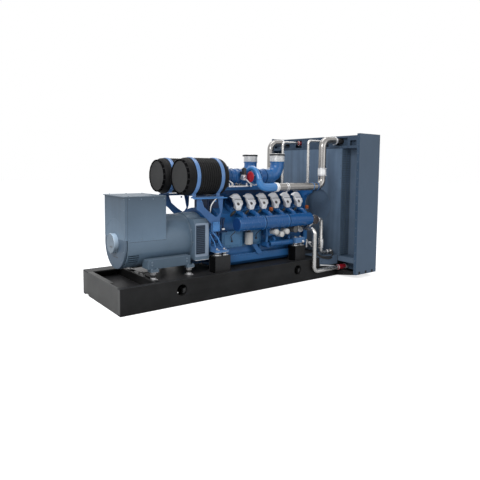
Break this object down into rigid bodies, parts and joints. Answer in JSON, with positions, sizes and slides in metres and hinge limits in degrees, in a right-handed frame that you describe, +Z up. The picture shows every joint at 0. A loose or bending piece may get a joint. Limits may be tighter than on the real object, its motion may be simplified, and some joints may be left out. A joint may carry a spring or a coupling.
{
  "type": "gas engine generator set",
  "caption": "Skid-mounted vee gas engine with a close-coupled alternator, two air filters, twin turbochargers and an end-mounted radiator with its pipework.",
  "frame": {"origin": "on the floor under the middle of the bounding box", "axes": "+X along the set from the alternator's end to the radiator, +Z up, the picture's near side at -Y"},
  "size_m": [4.73, 2.292, 2.554],
  "materials": {
    "skid_paint": "satin black paint",
    "alternator_paint": "satin grey-blue paint",
    "engine_paint": "semi-gloss blue paint",
    "elbow_paint": "gloss light blue paint",
    "strap_paint": "satin blue paint",
    "radiator_paint": "satin blue-grey paint",
    "cast_aluminium": "sand cast, clear coated",
    "zinc_plate": "zinc plated steel and rubber",
    "pipe_steel": "polished stainless steel",
    "bellows_steel": "folded stainless steel",
    "filter_plastic": "matt black moulded",
    "black_rubber": "matt",
    "red_silicone": "semi-gloss silicone hose",
    "dark_cap": "satin dark brown paint",
    "canister_paint": "gloss off-white paint",
    "black_paint": "satin black paint"
  },
  "bodies": {
    "root": {"skid_side_near": "skid_paint", "skid_side_far": "skid_paint", "skid_flanges": "skid_paint", "skid_end_beams": "skid_paint", "skid_cross_members": "skid_paint", "skid_plates": "skid_paint", "skid_wings": "skid_paint", "alternator_barrel": "alternator_paint", "alternator_end_plate": "alternator_paint", "exciter_cover": "alternator_paint", "terminal_box": "alternator_paint", "drive_end_adapter": "alternator_paint", "alternator_feet": "alternator_paint", "rubber_mounts": "zinc_plate", "flywheel_housing": "engine_paint", "crankcase": "engine_paint", "oil_sump": "engine_paint", "crankcase_doors": "engine_paint", "gear_case": "engine_paint", "cylinder_heads": "engine_paint", "rocker_covers": "cast_aluminium", "manifolds": "engine_paint", "vee_cover": "engine_paint", "turbochargers": "engine_paint", "exhaust_elbows": "engine_paint", "exhaust_bellows": "bellows_steel", "air_filter_near": "filter_plastic", "air_filter_far": "filter_plastic", "filter_straps": "strap_paint", "filter_brackets": "engine_paint", "charge_elbows": "elbow_paint", "charge_pipes": "pipe_steel", "charge_hoses": "black_rubber", "coolant_pipes": "pipe_steel", "red_couplings": "red_silicone", "lower_pipe": "pipe_steel", "bypass_pipe": "pipe_steel", "water_pump": "engine_paint", "auxiliary_pump": "dark_cap", "engine_pedestals": "skid_paint", "engine_arms": "engine_paint", "oil_filters": "canister_paint", "oil_cooler": "engine_paint", "breather_canister": "canister_paint", "crank_pulley": "black_paint", "front_hub": "black_paint", "radiator_sides": "radiator_paint", "radiator_base": "radiator_paint", "radiator_core": "radiator_paint", "fan_shroud": "radiator_paint", "radiator_header": "radiator_paint", "rear_grille": "radiator_paint"}
  },
  "joints": []
}
